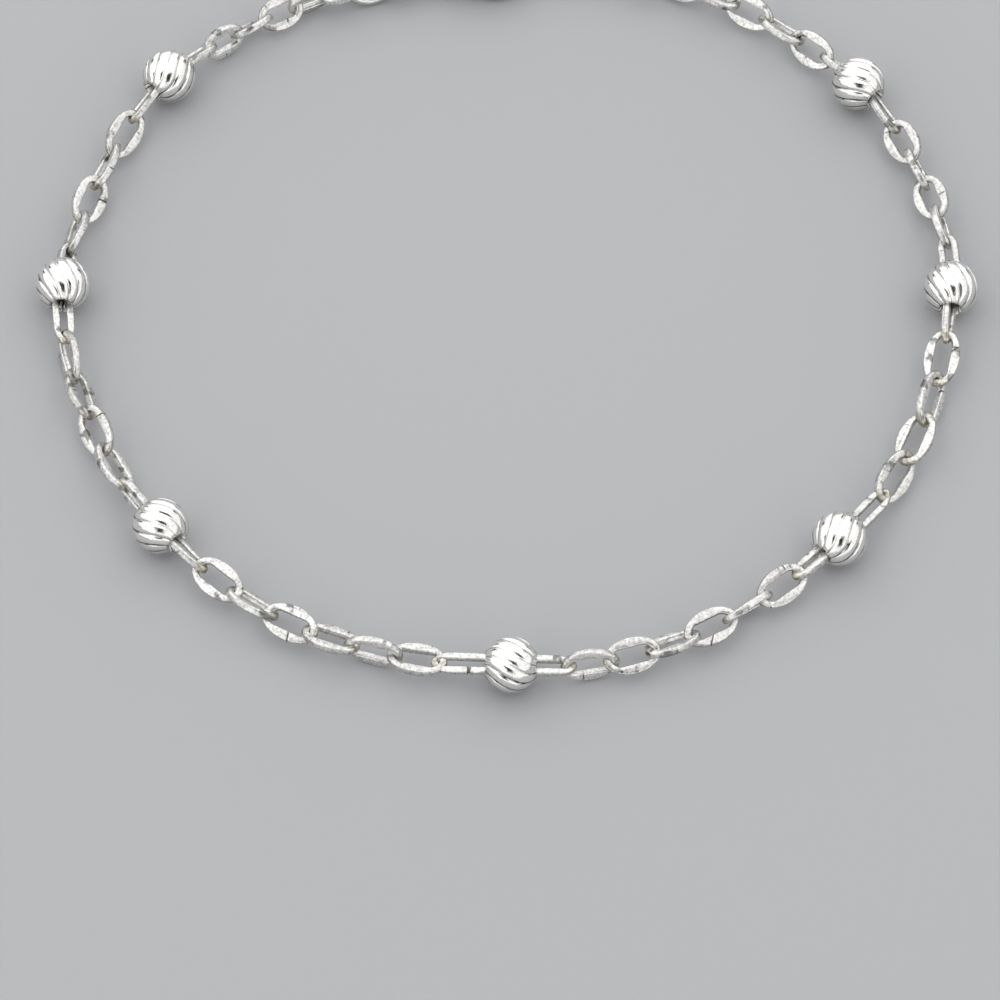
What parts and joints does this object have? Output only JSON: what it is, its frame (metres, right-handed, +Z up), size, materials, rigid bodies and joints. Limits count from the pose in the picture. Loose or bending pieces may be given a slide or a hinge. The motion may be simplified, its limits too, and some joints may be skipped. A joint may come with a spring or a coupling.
{
  "type": "chain bracelet",
  "caption": "Loop bracelet of flat oval silver cable links with round spiral-fluted beads spaced along it, closed by a jump ring and a plain hook clasp, worn around the wrist.",
  "frame": {"origin": "on the table under the middle of the loop", "axes": "+Z up from the table through the wrist hollow, -Y towards the front bead, +X to the viewer's right"},
  "size_m": [0.0666, 0.0633, 0.004],
  "materials": {
    "link_silver": "rolled and satin-polished sterling silver, faintly tarnished where links meet",
    "bead_silver": "bright-cut polished sterling silver",
    "ring_silver": "polished sterling silver wire",
    "clasp_silver": "polished cast sterling silver"
  },
  "bodies": {
    "root": {"chain_left": "link_silver", "chain_right": "link_silver", "bead_front": "bead_silver", "bead_low_right": "bead_silver", "bead_mid_right": "bead_silver", "bead_upper_right": "bead_silver", "bead_upper_left": "bead_silver", "bead_mid_left": "bead_silver", "bead_low_left": "bead_silver", "jump_ring": "ring_silver", "clasp": "clasp_silver"}
  },
  "joints": []
}
